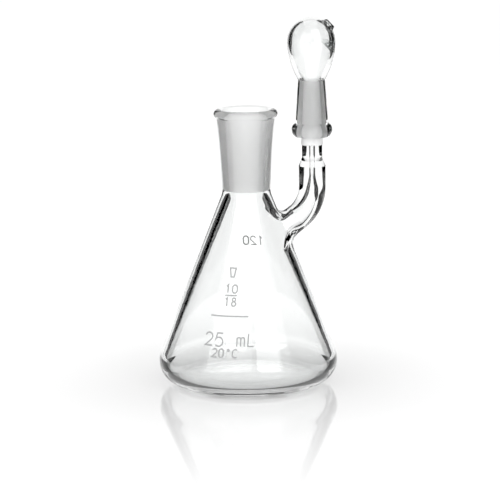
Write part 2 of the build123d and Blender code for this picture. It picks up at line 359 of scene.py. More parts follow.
def turned_wall(name: str, outline: list[Point], x: float = 0.0) -> bpy.types.Object:
    """Model a round wall about an upright axis.

    Args:
        name: The piece's name.
        outline: The wall's section, as radius and height, open between its two ends.
        x: How far the axis stands from the flask's own.

    Returns:
        The finished piece, in object mode.
    """
    radius, height = outline[0]
    pen = RingPen(Vector((x, 0, height)), radius)
    pen.follow(outline[1:])
    return finish_wall(name)


# ---- Finishes ------------------------------------------------------------------------


class Finish(Enum):
    """The finishes that the flask's surfaces have."""

    CLEAR = "clear_glass"
    GROUND = "ground_glass"
    SEAL = "flame_seal"
    ENAMEL = "enamel"


@dataclass(frozen=True)
class Glass:
    """Borosilicate glass with one finish of its surface.

    Attributes:
        finish: The finish.
        tint: The share of the light that the surface lets through.
        roughness: How much the surface scatters.
        clearness: The share of the surface that lets light through.
        frequency: The frequency of the surface's relief, per metre.
        depth: The depth of the relief, in metres.
        detail: How many finer layers the relief has.
        refraction: The glass's index of refraction.
    """

    finish: Finish
    tint: tuple[float, float, float, float]
    roughness: float
    clearness: float
    frequency: float
    depth: float
    detail: float = 2
    refraction: float = 1.474

    def material(self) -> bpy.types.Material:
        """Make the see-through material.

        Returns:
            The new material.
        """
        material = bpy.data.materials.new(self.finish.value)
        material.use_nodes = True
        nodes, links = material.node_tree.nodes, material.node_tree.links
        shader = nodes["Principled BSDF"]
        shader.inputs["Base Color"].default_value = self.tint
        shader.inputs["Transmission Weight"].default_value = self.clearness
        shader.inputs["IOR"].default_value = self.refraction
        shader.inputs["Roughness"].default_value = self.roughness
        place = nodes.new("ShaderNodeTexCoord")
        noise = nodes.new("ShaderNodeTexNoise")
        noise.inputs["Scale"].default_value = self.frequency
        noise.inputs["Detail"].default_value = self.detail
        relief = nodes.new("ShaderNodeBump")
        relief.inputs["Distance"].default_value = self.depth
        links.new(place.outputs["Object"], noise.inputs["Vector"])
        links.new(noise.outputs["Fac"], relief.inputs["Height"])
        links.new(relief.outputs["Normal"], shader.inputs["Normal"])
        return material


@dataclass(frozen=True)
class ClearGlass(Glass):
    """Glass that the flame has polished, with the slow ripple of blown work."""

    finish: Finish = Finish.CLEAR
    tint: tuple[float, float, float, float] = (0.985, 0.992, 0.99, 1)
    roughness: float = 0.0
    clearness: float = 1.0
    frequency: float = 260
    depth: float = 0.012 * MM


@dataclass(frozen=True)
class GroundGlass(Glass):
    """Glass ground with grit: fine pits under a satin bloom."""

    finish: Finish = Finish.GROUND
    tint: tuple[float, float, float, float] = (1, 1, 1, 1)
    roughness: float = 0.6
    clearness: float = 0.6
    frequency: float = 1 / (0.12 * MM)
    depth: float = 0.01 * MM


@dataclass(frozen=True)
class FlameSeal:
    """The joint of two pieces that a flame has made one: light crosses it unbent."""

    finish: Finish = Finish.SEAL

    def material(self) -> bpy.types.Material:
        """Make the material.

        Returns:
            The new material.
        """
        material = bpy.data.materials.new(self.finish.value)
        material.use_nodes = True
        nodes, links = material.node_tree.nodes, material.node_tree.links
        nodes.remove(nodes["Principled BSDF"])
        clear = nodes.new("ShaderNodeBsdfTransparent")
        links.new(clear.outputs["BSDF"], nodes["Material Output"].inputs["Surface"])
        return material


@dataclass(frozen=True)
class Enamel:
    """Fired grey enamel, finely speckled."""

    finish: Finish = Finish.ENAMEL
    roughness: float = 0.6
    frequency: float = 9000
    depth: float = 0.01 * MM
    dark: tuple[float, float, float, float] = (0.2, 0.205, 0.205, 1)
    light: tuple[float, float, float, float] = (0.34, 0.345, 0.345, 1)
    spread: tuple[float, float] = (0.3, 0.7)

    def material(self) -> bpy.types.Material:
        """Make the material.

        Returns:
            The new material.
        """
        material = bpy.data.materials.new(self.finish.value)
        material.use_nodes = True
        nodes, links = material.node_tree.nodes, material.node_tree.links
        shader = nodes["Principled BSDF"]
        shader.inputs["Roughness"].default_value = self.roughness
        place = nodes.new("ShaderNodeTexCoord")
        speckle = nodes.new("ShaderNodeTexNoise")
        speckle.inputs["Scale"].default_value = self.frequency
        tones = nodes.new("ShaderNodeValToRGB")
        stops = zip(tones.color_ramp.elements, self.spread, (self.dark, self.light))
        for stop, position, tone in stops:
            stop.position = position
            stop.color = tone
        relief = nodes.new("ShaderNodeBump")
        relief.inputs["Distance"].default_value = self.depth
        links.new(place.outputs["Object"], speckle.inputs["Vector"])
        links.new(speckle.outputs["Fac"], tones.inputs["Fac"])
        links.new(tones.outputs["Color"], shader.inputs["Base Color"])
        links.new(speckle.outputs["Fac"], relief.inputs["Height"])
        links.new(relief.outputs["Normal"], shader.inputs["Normal"])
        return material


@dataclass(frozen=True)
class Palette:
    """All the flask's materials, made once.

    Attributes:
        materials: The material of each finish.
    """

    materials: dict[Finish, bpy.types.Material]

    @classmethod
    def mix(cls) -> "Palette":
        """Make every material."""
        looks = (ClearGlass(), GroundGlass(), FlameSeal(), Enamel())
        return cls({look.finish: look.material() for look in looks})

    def dress(self, piece: bpy.types.Object, finishes: list[tuple[Finish, FaceTest]]) -> None:
        """Give a piece clear glass all over, then other finishes where tests say so.

        Args:
            piece: The mesh object.
            finishes: Pairs of a finish and a test of a face's middle and normal.
        """
        piece.data.materials.clear()
        piece.data.materials.append(self.materials[Finish.CLEAR])
        for place, (finish, test) in enumerate(finishes, start=1):
            piece.data.materials.append(self.materials[finish])
            select_faces(piece, test)
            bpy.ops.object.mode_set(mode="EDIT")
            piece.active_material_index = place
            bpy.ops.object.material_slot_assign()
            bpy.ops.object.mode_set(mode="OBJECT")


# ---- The flask's sizes ---------------------------------------------------------------


@dataclass(frozen=True)
class FlaskSizes:
    """Sizes that more than one piece shares, with the places that the frame gives."""

    wall: float = 1.7 * MM
    heel_radius: float = 5.6 * MM
    joint_diameter: float = 10.0 * MM
    joint_length: float = 18.0 * MM
    arm_radius: float = 3.2 * MM
    root_bore: float = 1.9 * MM
    bend_bore: float = 0.95 * MM
    capillary_bore: float = 0.5 * MM
    arm_tilt: float = radians(38)
    bend_radius: float = 9.2 * MM
    cap_bore: float = 1.8475 * MM
    cap_neck: float = 3.1975 * MM
    base_radius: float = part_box("conical_body")[1].y
    seal_height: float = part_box("neck_socket")[0].z
    mouth_height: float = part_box("neck_socket")[1].z
    arm_x: float = (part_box("capillary_cone")[0].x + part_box("capillary_cone")[1].x) / 2
    arm_foot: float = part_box("side_arm")[0].z
    arm_top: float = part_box("side_arm")[1].z
    cone_tip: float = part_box("capillary_cone")[1].z
    cap_rim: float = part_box("cap_socket")[0].z
    cap_seal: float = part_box("cap_socket")[1].z
    shoulder_rise: float = 0.4 * MM
    mouth_lead: float = 1.5 * MM
    neck_wall: float = 1.6 * MM

    @property
    def socket_top(self) -> float:
        """Height of the neck joint's wide end."""
        return self.mouth_height - self.mouth_lead

    @property
    def socket_foot(self) -> float:
        """Height of the neck joint's narrow end."""
        return self.socket_top - self.joint_length

    @property
    def shoulder(self) -> Point:
        """The corner where the cone's line meets the neck's outer line."""
        height = self.socket_foot - self.shoulder_rise
        return self.socket_radius(height) + self.neck_wall, height

    def socket_radius(self, height: float) -> float:
        """Radius of the neck's ground bore at a height."""
        return self.joint_diameter / 2 - TAPER / 2 * (self.socket_top - height)

    @property
    def heel_centre(self) -> float:
        """Distance from the axis to the middle of the heel's round."""
        return self.base_radius - self.heel_radius

    @property
    def lean(self) -> float:
        """How far the cone leans from upright.

        Returns:
            The angle of the line from the neck's corner along the heel's round, in radians.
        """
        run = self.heel_centre - self.shoulder[0]
        drop = self.shoulder[1] - self.heel_radius
        return atan2(run, drop) + asin(self.heel_radius / hypot(run, drop))

    def cone_radius(self, height: float) -> float:
        """Outside radius of the cone at a height."""
        return self.shoulder[0] + tan(self.lean) * (self.shoulder[1] - height)

    @property
    def seam(self) -> tuple[Point, Point]:
        """The seam between body and neck, square to the wall.

        Returns:
            Its outer and its inner edge.
        """
        outer = (self.cone_radius(self.seal_height), self.seal_height)
        inner = (outer[0] - self.wall * cos(self.lean), outer[1] - self.wall * sin(self.lean))
        return outer, inner

    @property
    def bend_top(self) -> float:
        """Height at which the side arm becomes upright."""
        return self.pivot.z

    @property
    def arm_axis(self) -> Vector:
        """The direction in which the side arm leaves the cone."""
        return Vector((cos(self.arm_tilt), 0, sin(self.arm_tilt)))

    @property
    def arm_seal(self) -> Vector:
        """The middle of the seam between the cone's boss and the side arm."""
        height = self.arm_foot + self.arm_radius * cos(self.arm_tilt)
        return Vector((self.arm_x - self.bend_radius * (1 - sin(self.arm_tilt)), 0, height))

    @property
    def pivot(self) -> Vector:
        """The middle of the side arm's bend."""
        rise = self.bend_radius * cos(self.arm_tilt)
        return Vector((self.arm_x - self.bend_radius, 0, self.arm_seal.z + rise))


# ---- Pieces --------------------------------------------------------------------------


@dataclass
class ConicalBody:
    """The blown cone with its rounded heel, kicked-up base and boss for the side arm."""

    sizes: FlaskSizes
    kick_radius: float = 11.5 * MM
    kick_height: float = 0.5 * MM
    segments: int = 48
    patch_half: float = radians(37.5)
    patch_top: float = 42.8 * MM
    patch_foot: float = 31.6 * MM
    patch_rows: int = 8
    boss_steps: int = 36
    boss_sleeve: float = 0.5 * MM
    blend_cuts: int = 4
    blend_smoothing: int = 3
    top_band: float = 0.7 * MM
    side_shares: tuple[float, ...] = (0.06, 0.16, 0.3, 0.46, 0.62, 0.78, 0.9, 0.97)
    heel_steps: int = 14
    flat_shares: tuple[float, ...] = (0.2, 0.6, 0.92)
    kick_shares: tuple[float, ...] = (0.97, 0.85, 0.7, 0.5, 0.3, 0.14, 0.05)
    patch_margin: float = 0.2 * MM
    cone_slack: float = 0.3 * MM
    thin_length: float = 3 * MM
    thin_reach: float = 4.5 * MM
    arm_room: float = 1.1

    def outline(self) -> list[Point]:
        """Draw the outside of the body.

        Returns:
            The points from the seam down to the middle of the base, as radius and height.
        """
        s = self.sizes
        outer, _ = s.seam
        rows = [s.seal_height - self.top_band]
        span = (self.patch_top - self.patch_foot) / self.patch_rows
        rows += [self.patch_top - span * row for row in range(self.patch_rows + 1)]
        tangent = s.heel_radius + s.heel_radius * sin(s.lean)
        rest = self.patch_foot - tangent
        rows += [self.patch_foot - rest * share for share in self.side_shares]
        points = [outer] + [(s.cone_radius(height), height) for height in rows]
        heel = (s.heel_centre, s.heel_radius)
        points += arc(heel, s.heel_radius, degrees(s.lean), -90, self.heel_steps)
        flat = s.heel_centre - self.kick_radius
        points += [(s.heel_centre - flat * share, 0.0) for share in self.flat_shares]
        dome = (self.kick_radius**2 + self.kick_height**2) / (2 * self.kick_height)
        for share in self.kick_shares:
            radius = self.kick_radius * share
            points.append((radius, self.kick_height - dome + sqrt(dome**2 - radius**2)))
        return points

    def swell(self, steps: int) -> float:
        """How much larger a ring of some steps is drawn to keep its size once subdivided."""
        return 3 / (2 + cos(2 * pi / steps))

    def build(self, palette: Palette) -> bpy.types.Object:
        """Model the body and dress it.

        Args:
            palette: The flask's materials.

        Returns:
            The finished piece.
        """
        swell = self.swell(self.segments)
        outline = [(radius * swell, height) for radius, height in self.outline()]
        pen = RingPen(Vector((0, 0, outline[0][1])), outline[0][0], steps=self.segments)
        pen.follow(outline[1:])
        bpy.ops.mesh.extrude_edges_move(TRANSFORM_OT_translate={"value": (0, 0, 0)})
        bpy.ops.mesh.merge(type="CENTER")
        bpy.ops.object.mode_set(mode="OBJECT")
        piece = bpy.context.view_layer.objects.active
        self.open_patch(piece)
        self.add_boss(piece)
        apply_modifier(piece, "SUBSURF", levels=2, render_levels=2)
        self.thicken(piece)
        pick(piece)
        piece.name = piece.data.name = "clear_body"
        bpy.ops.object.shade_smooth_by_angle(angle=SMOOTH_ANGLE)
        palette.dress(piece, [(Finish.SEAL, self.on_seam)])
        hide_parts("conical_body")
        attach(piece, "flask")
        return piece

    def open_patch(self, piece: bpy.types.Object) -> None:
        """Take out the faces that the boss grows from.

        Args:
            piece: The body, as a shell without thickness.
        """
        foot, top = self.patch_foot + self.patch_margin, self.patch_top - self.patch_margin

        def in_patch(middle: Vector, normal: Vector) -> bool:
            """Say whether a face lies in the patch on the side of the arm."""
            return foot < middle.z < top and abs(atan2(middle.y, middle.x)) < self.patch_half

        select_faces(piece, in_patch)
        bpy.ops.object.mode_set(mode="EDIT")
        bpy.ops.mesh.delete(type="FACE")
        bpy.ops.object.mode_set(mode="OBJECT")

    def add_boss(self, piece: bpy.types.Object) -> None:
        """Add the boss's sleeve and blend it into the edge of the opened patch.

        Args:
            piece: The body, as a shell without thickness.
        """
        s = self.sizes
        radius = s.arm_radius * self.swell(self.boss_steps)
        edit(piece)
        pen = RingPen(s.arm_seal, radius, s.arm_axis, steps=self.boss_steps)
        pen.pull(-self.boss_sleeve, radius)
        pen.pull(-self.boss_sleeve, radius)
        foot = pen.centre
        bpy.ops.object.mode_set(mode="OBJECT")

        def on_foot(place: Vector) -> bool:
            """Say whether a point is on the sleeve's foot."""
            reach = place - foot
            return reach.length < radius * ROOM and abs(reach.dot(s.arm_axis)) < FLUSH

        select_points(piece, on_foot)
        bpy.ops.object.mode_set(mode="EDIT")
        bpy.ops.mesh.select_mode(type="EDGE")
        bpy.ops.object.mode_set(mode="OBJECT")
        for edge in self.hole_edges(piece):
            piece.data.edges[edge].select = True
        bpy.ops.object.mode_set(mode="EDIT")
        bpy.ops.mesh.bridge_edge_loops(
            number_cuts=self.blend_cuts, interpolation="SURFACE", smoothness=1.0
        )
        bpy.ops.mesh.select_mode(type="VERT")
        bpy.ops.mesh.select_less()
        bpy.ops.mesh.vertices_smooth(factor=0.5, repeat=self.blend_smoothing)
        bpy.ops.mesh.select_all(action="SELECT")
        bpy.ops.mesh.normals_make_consistent(inside=False)
        bpy.ops.object.mode_set(mode="OBJECT")

    def hole_edges(self, piece: bpy.types.Object) -> list[int]:
        """Find the edges around the opened patch, in object mode.

        Args:
            piece: The body, as a shell without thickness.

        Returns:
            The edges' numbers.
        """
        uses = {}
        for face in piece.data.polygons:
            for key in face.edge_keys:
                uses[key] = uses.get(key, 0) + 1
        points = piece.data.vertices
        found = []
        for edge in piece.data.edges:
            middle = (points[edge.vertices[0]].co + points[edge.vertices[1]].co) / 2
            near = self.patch_foot - MM < middle.z < self.patch_top + self.patch_margin
            gap = abs(hypot(middle.x, middle.y) - self.sizes.cone_radius(middle.z))
            if uses.get(tuple(edge.key)) == 1 and near and gap < self.cone_slack:
                found.append(edge.index)
        return found

    def thicken(self, piece: bpy.types.Object) -> None:
        """Give the shell its wall, thinner where the boss is pulled out.

        Args:
            piece: The body, as a shell without thickness.
        """
        s = self.sizes
        group = piece.vertex_groups.new(name="wall")
        thin = (s.arm_radius - s.root_bore) / s.wall
        seal, axis = s.arm_seal, s.arm_axis
        for point in piece.data.vertices:
            along = (point.co - seal).dot(axis)
            across = (point.co - seal - axis * along).length
            near = max(0.0, min(1.0, 1 + along / self.thin_length)) * (across < self.thin_reach)
            group.add([point.index], 1 - (1 - thin) * near, "REPLACE")
        apply_modifier(
            piece, "SOLIDIFY", thickness=s.wall, offset=-1, use_even_offset=True,
            vertex_group="wall", use_rim=True,
        )

    def on_seam(self, middle: Vector, normal: Vector) -> bool:
        """Say whether a face belongs to one of the two seams.

        Args:
            middle: The face's middle.
            normal: The face's normal; not used.

        Returns:
            Whether it lies on the seam with the neck or on the seam with the side arm.
        """
        s = self.sizes
        outer, inner = s.seam
        slope = Vector((-sin(s.lean), cos(s.lean)))
        flat = Vector((hypot(middle.x, middle.y) - outer[0], middle.z - outer[1]))
        on_neck = abs(flat.dot(slope)) < 2 * FLUSH and middle.z > inner[1] - 5 * FLUSH
        reach = middle - s.arm_seal
        on_arm = abs(reach.dot(s.arm_axis)) < 2 * FLUSH and reach.length < s.arm_radius * self.arm_room
        return on_neck or on_arm


@dataclass
class NeckSocket:
    """The neck: a ground socket with a rounded, fire-polished lip."""

    sizes: FlaskSizes
    shoulder_blend: float = 5.5 * MM
    flare_drop: float = 11.0 * MM
    lip_radius: float = 1.1 * MM
    undercut: float = 65
    blend_steps: int = 12
    side_steps: int = 8
    flare_steps: int = 14
    lip_steps: int = 22
    bore_steps: int = 24
    ground_edge: float = 0.3 * MM
    seam_slant: float = 0.8

    def outline(self) -> list[Point]:
        """Draw the neck's section.

        Returns:
            The points from the seam's inner edge round the outside and back down the bore.
        """
        s = self.sizes
        outer, inner = s.seam
        blend = self.shoulder_blend
        middle = (outer[0] + blend * cos(s.lean), outer[1] + blend * sin(s.lean))
        first, last = 180 + degrees(s.lean), 180 - degrees(atan(TAPER / 2))
        points = [inner, outer]
        points += arc(middle, blend, first, last, self.blend_steps)[1:]
        flare = s.socket_top - self.flare_drop
        start = (s.socket_radius(flare) + s.neck_wall, flare)
        points += straight(points[-1], start, self.side_steps)[:-1]
        crest = s.joint_diameter / 2 + s.mouth_lead
        lip_centre = (crest, s.mouth_height - self.lip_radius)
        lip = arc(lip_centre, self.lip_radius, -self.undercut, 90, self.lip_steps)
        points += meeting_arc(start, (TAPER / 2, 1), lip[0], self.flare_steps)[:-1]
        points += lip
        points += arc((crest, s.socket_top), s.mouth_lead, 90, 180, self.flare_steps)[1:]
        foot = (s.socket_radius(s.socket_foot), s.socket_foot)
        points += straight(points[-1], foot, self.bore_steps)[:-1]
        drop = (s.wall / cos(s.lean) - s.neck_wall) / (tan(s.lean) + TAPER / 2)
        corner = s.shoulder[1] - drop
        points += curve(foot, (s.socket_radius(corner), corner), inner, self.blend_steps)[:-1]
        return points

    def build(self, palette: Palette) -> bpy.types.Object:
        """Model the neck and dress it.

        Args:
            palette: The flask's materials.

        Returns:
            The finished piece.
        """
        s = self.sizes
        outer, inner = s.seam
        ground_top, ground_reach = s.socket_top + self.ground_edge, s.joint_diameter / 2 * ROOM
        piece = turned_wall("ground_neck", self.outline())

        def on_seam(middle: Vector, normal: Vector) -> bool:
            """Say whether a face lies on the seam with the body."""
            between = inner[0] < hypot(middle.x, middle.y) < outer[0]
            return between and normal.z < -self.seam_slant and middle.z < outer[1]

        def in_bore(middle: Vector, normal: Vector) -> bool:
            """Say whether a face lies on the ground bore.

            Args:
                middle: The face's middle.
                normal: The face's normal.

            Returns:
                Whether it does.
            """
            inwards = normal.x * middle.x + normal.y * middle.y < 0
            in_reach = hypot(middle.x, middle.y) < ground_reach
            return inwards and in_reach and s.socket_foot < middle.z < ground_top

        palette.dress(piece, [(Finish.GROUND, in_bore), (Finish.SEAL, on_seam)])
        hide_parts("neck_socket")
        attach(piece, "flask")
        return piece


@dataclass
class SideArm:
    """The bent tube whose bore narrows from the boss to a capillary."""

    sizes: FlaskSizes
    bend_steps: int = 26
    funnel: float = 3.2 * MM
    funnel_steps: int = 8
    funnel_ease: float = 1.6
    upright_steps: int = 6

    def build(self, palette: Palette) -> bpy.types.Object:
        """Model the side arm and dress it.

        Args:
            palette: The flask's materials.

        Returns:
            The finished piece.
        """
        s = self.sizes
        step = (pi / 2 - s.arm_tilt) / self.bend_steps
        pen = RingPen(s.arm_seal, s.arm_radius, s.arm_axis)
        for _ in range(self.bend_steps):
            pen.swing(s.pivot, step, s.arm_radius)
        rise = s.arm_top - s.bend_top
        for _ in range(self.upright_steps):
            pen.pull(rise / self.upright_steps, s.arm_radius)
        pen.pull(0, s.capillary_bore)
        pen.pull(self.funnel - rise, s.capillary_bore)
        for place in range(1, self.funnel_steps + 1):
            share = (place / self.funnel_steps) ** self.funnel_ease
            bore = s.capillary_bore + (s.bend_bore - s.capillary_bore) * share
            pen.pull(-self.funnel / self.funnel_steps, bore)
        for place in range(1, self.bend_steps + 1):
            share = place / self.bend_steps
            pen.swing(s.pivot, -step, s.bend_bore + (s.root_bore - s.bend_bore) * share)
        piece = finish_wall("bent_arm")

        def on_seam(middle: Vector, normal: Vector) -> bool:
            """Say whether a face lies on one of the arm's two ends.

            Args:
                middle: The face's middle.
                normal: The face's normal.

            Returns:
                Whether it does.
            """
            reach = abs((middle - s.arm_seal).dot(s.arm_axis))
            top = abs(middle.z - s.arm_top) < FLUSH and normal.z > SQUARE
            return top or reach < FLUSH and normal.dot(s.arm_axis) < -SQUARE

        palette.dress(piece, [(Finish.SEAL, on_seam)])
        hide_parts("side_arm")
        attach(piece, "flask")
        return piece


@dataclass
class CapillaryCone:
    """The capillary tube with the ground cone that carries the cap."""

    sizes: FlaskSizes
    tube_radius: float = 2.425 * MM
    shoulder: float = 1.9 * MM
    clear_length: float = 3.2 * MM
    runout: float = 1.8 * MM
    wide_radius: float = 2.5 * MM
    shoulder_round: float = 0.35 * MM
    tip_round: float = 0.35 * MM
    collar: float = 1.5 * MM
    bevel: float = 0.1 * MM
    foot_drop: float = 0.03 * MM
    ground_edge: float = 0.3 * MM
    round_steps: int = 6
    cone_steps: int = 20

    def outline(self) -> list[Point]:
        """Draw the section.

        Returns:
            The points from the bore's foot round the outside to the bore's top.
        """
        s = self.sizes
        top = s.arm_top + self.shoulder
        cone_foot = top + self.clear_length
        points = [(s.capillary_bore, s.arm_top), (s.arm_radius, s.arm_top)]
        slope = (s.arm_radius - self.tube_radius) / self.shoulder
        tube, blend = self.tube_radius, self.shoulder_round
        points += [(s.arm_radius - slope * self.bevel, s.arm_top + self.bevel)]
        above, below = (tube, top + blend), (tube + slope * blend, top - blend)
        points += curve(below, (tube, top), above, self.round_steps)
        points += [(tube, top + self.collar), (tube, cone_foot - self.bevel)]
        foot = self.wide_radius + TAPER / 2 * self.runout
        points += [(foot - self.foot_drop, cone_foot), (foot, cone_foot + self.bevel)]
        tip = self.wide_radius - TAPER / 2 * (s.cone_tip - s.cap_rim)
        edge = s.cone_tip - self.tip_round
        points += straight((foot, cone_foot), (tip, edge), self.cone_steps)
        points += arc((tip - self.tip_round, edge), self.tip_round, 0, 90, self.round_steps)[1:]
        bore = s.capillary_bore
        points += [(bore + self.bevel, s.cone_tip), (bore, s.cone_tip - self.bevel)]
        return points

    def build(self, palette: Palette) -> bpy.types.Object:
        """Model the capillary cone and dress it.

        Args:
            palette: The flask's materials.

        Returns:
            The finished piece.
        """
        s = self.sizes
        piece = turned_wall("capillary_tip", self.outline(), s.arm_x)
        ground_foot = s.arm_top + self.shoulder + self.clear_length

        def on_cone(middle: Vector, normal: Vector) -> bool:
            """Say whether a face lies on the ground cone."""
            outwards = normal.x * (middle.x - s.arm_x) + normal.y * middle.y > 0
            return outwards and ground_foot < middle.z < s.cone_tip - self.ground_edge

        def on_seam(middle: Vector, normal: Vector) -> bool:
            """Say whether a face lies on the seam with the side arm."""
            return normal.z < -SQUARE and abs(middle.z - s.arm_top) < FLUSH

        palette.dress(piece, [(Finish.GROUND, on_cone), (Finish.SEAL, on_seam)])
        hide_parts("capillary_cone")
        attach(piece, "flask")
        return piece


@dataclass
class CapSocket:
    """The cap's ground socket with the bead round its mouth."""

    sizes: FlaskSizes
    mouth: float = 2.53 * MM
    rim_land: float = 1.1 * MM
    bead_height: float = 3.4 * MM
    bead_rise: float = 0.97 * MM
    wall: float = 1.35 * MM
    land_thirds: tuple[float, ...] = (0.3, 1, 2, 2.8, 3)
    bore_steps: int = 16
    bead_steps: int = 20
    side_steps: int = 12

    def outline(self) -> list[Point]:
        """Draw the section.

        Returns:
            The points from the seam's inner edge down the bore and up the outside.
        """
        s = self.sizes
        points = [(s.cap_bore, s.cap_seal)]
        points += straight(points[0], (self.mouth, s.cap_rim), self.bore_steps)
        points += [(self.mouth + self.rim_land * thirds / 3, s.cap_rim) for thirds in self.land_thirds]
        root = self.mouth + self.wall
        crest = (root + self.bead_rise, s.cap_rim + self.bead_height / 2)
        end = (root, s.cap_rim + self.bead_height)
        points += circle_through(points[-1], crest, end, self.bead_steps)[1:]
        points += straight(end, (s.cap_neck, s.cap_seal), self.side_steps)
        return points

    def build(self, palette: Palette) -> bpy.types.Object:
        """Model the socket and dress it.

        Args:
            palette: The flask's materials.

        Returns:
            The finished piece.
        """
        s = self.sizes
        piece = turned_wall("cap_sleeve", self.outline(), s.arm_x)

        def in_bore(middle: Vector, normal: Vector) -> bool:
            """Say whether a face lies on the ground bore."""
            inwards = normal.x * (middle.x - s.arm_x) + normal.y * middle.y < 0
            return inwards and abs(normal.z) < 0.5

        def on_seam(middle: Vector, normal: Vector) -> bool:
            """Say whether a face lies on the seam with the bulb."""
            return normal.z > SQUARE and abs(middle.z - s.cap_seal) < FLUSH

        palette.dress(piece, [(Finish.GROUND, in_bore), (Finish.SEAL, on_seam)])
        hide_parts("cap_socket")
        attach(piece, "cap")
        return piece


@dataclass
class CapBulb:
    """The hollow blown bulb of the cap, with a pierced vent near its top."""

    sizes: FlaskSizes
    radius: float = 5.68 * MM
    rise: float = 9.15 * MM
    wall: float = 0.75 * MM
    vent_tilt: float = radians(47)
    vent_bore: float = 0.3 * MM
    vent_boss: float = 1.5 * MM
    vent_rise: float = 0.6 * MM
    vent_round: float = 0.45 * MM
    crown: float = radians(26)
    crown_cuts: int = 12
    inner_angles: tuple[float, ...] = (24, 16, 10, 6)
    outer_angles: tuple[float, ...] = (21.5, 23.5)
    hole_edge: float = 0.12 * MM
    foot_share: float = 0.9
    foot_lift: float = 0.1 * MM
    hole_steps: int = 4
    boss_steps: int = 8
    foot_steps: int = 6
    dome_steps: int = 18
    ring_steps: int = 96

    @property
    def centre(self) -> Vector:
        """The middle of the bulb's dome."""
        return Vector((self.sizes.arm_x, 0, self.sizes.cap_seal + self.rise))

    @property
    def inside(self) -> float:
        """Radius of the bulb's hollow."""
        return self.radius - self.wall

    def on_dome(self, radius: float, angle: float) -> Point:
        """The point of a dome at an angle from the vent's axis, in radians."""
        return radius * sin(angle), radius * cos(angle)

    def vent_outline(self) -> list[Point]:
        """Draw the crown about the vent's own axis.

        Returns:
            The points from the inner dome through the hole and down the boss.
        """
        inside, bore, edge = self.inside, self.vent_bore, self.hole_edge
        top = self.radius + self.vent_rise
        points = [self.on_dome(inside, radians(angle)) for angle in self.inner_angles]
        points += [(bore + edge, inside), (bore, inside + edge)]
        points += straight((bore, inside), (bore, top), self.hole_steps)[:-1]
        points += arc((bore + edge, top - edge), edge, 180, 90, self.hole_steps)
        boss, blend = self.vent_boss, self.vent_round
        points += arc((boss - blend, top - blend), blend, 90, 10, self.boss_steps)
        foot = self.on_dome(self.radius, asin((boss + blend * self.foot_share) / self.radius))
        points += curve(points[-1], (boss, foot[1] + self.foot_lift), foot, self.foot_steps)[1:]
        points += [self.on_dome(self.radius, radians(angle)) for angle in self.outer_angles]
        return points

    def build(self, palette: Palette) -> bpy.types.Object:
        """Model the bulb about its own centre, move it into place and dress it.

        Args:
            palette: The flask's materials.

        Returns:
            The finished piece.
        """
        s = self.sizes
        inside = self.inside
        depth = s.cap_seal - self.centre.z
        inner = meeting_arc((inside, 0.0), (0, -1), (s.cap_bore, depth), self.dome_steps)
        outer = meeting_arc((self.radius, 0.0), (0, -1), (s.cap_neck, depth), self.dome_steps)
        axis = Vector((sin(self.vent_tilt), 0, cos(self.vent_tilt)))
        pen = RingPen(Vector((0, 0, 0)), inside, steps=self.ring_steps)
        pen.follow(inner[1:])
        pen.follow(list(reversed(outer)))
        start = axis * (inside * cos(self.crown))
        crown = RingPen(start, inside * sin(self.crown), axis, steps=self.ring_steps)
        crown.follow(self.vent_outline())
        crown.follow([self.on_dome(self.radius, self.crown)])
        bpy.ops.object.mode_set(mode="OBJECT")
        piece = bpy.context.view_layer.objects.active
        for reach in (inside, self.radius):
            self.bridge_dome(piece, reach, axis)
        edit(piece)
        piece = finish_wall("vented_bulb", close=False)
        piece.location = self.centre
        bpy.ops.object.transform_apply(location=True)

        def on_seam(middle: Vector, normal: Vector) -> bool:
            """Say whether a face lies on the seam with the socket."""
            return normal.z < -SQUARE and abs(middle.z - s.cap_seal) < FLUSH

        palette.dress(piece, [(Finish.SEAL, on_seam)])
        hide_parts("cap_bulb")
        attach(piece, "cap")
        return piece

    def bridge_dome(self, piece: bpy.types.Object, reach: float, axis: Vector) -> None:
        """Join the equator to the crown's ring over one dome and cast the join on its sphere.

        Args:
            piece: The bulb, about its own centre.
            reach: The dome's radius.
            axis: The direction of the vent.
        """

        def on_ring(place: Vector) -> bool:
            """Say whether a point is on this dome's equator or on its crown's ring.

            Args:
                place: The point.

            Returns:
                Whether it is.
            """
            equator = abs(place.z) < FLUSH
            ring = abs(place.dot(axis) - reach * cos(self.crown)) < FLUSH
            return abs(place.length - reach) < FLUSH and (equator or ring)

        select_points(piece, on_ring)
        bpy.ops.object.mode_set(mode="EDIT")
        bpy.ops.mesh.select_mode(type="EDGE")
        bpy.ops.mesh.bridge_edge_loops(number_cuts=self.crown_cuts)
        bpy.ops.mesh.select_mode(type="VERT")
        piece.vertex_groups.new(name="dome")
        piece.vertex_groups.active_index = len(piece.vertex_groups) - 1
        bpy.ops.object.vertex_group_assign()
        bpy.ops.object.mode_set(mode="OBJECT")
        apply_modifier(
            piece, "CAST", cast_type="SPHERE", factor=1, size=reach, use_radius_as_size=False,
            vertex_group=piece.vertex_groups[-1].name,
        )
        piece.vertex_groups.clear()


@dataclass
class Marks:
    """The enamel marks fired on the outside of the cone."""

    nodes: tuple[str, ...] = (
        "capacity_mark", "temperature_mark", "joint_size_mark",
        "taper_mark", "rule_mark", "set_number_mark",
    )

    def dress(self, palette: Palette) -> None:
        """Give every mark its enamel.

        Args:
            palette: The flask's materials.
        """
        for name in self.nodes:
            node = frame["nodes"][name]
            node.data.materials.clear()
            node.data.materials.append(palette.materials[Finish.ENAMEL])
            log.info("%s dressed", name)


# ---- Studio --------------------------------------------------------------------------


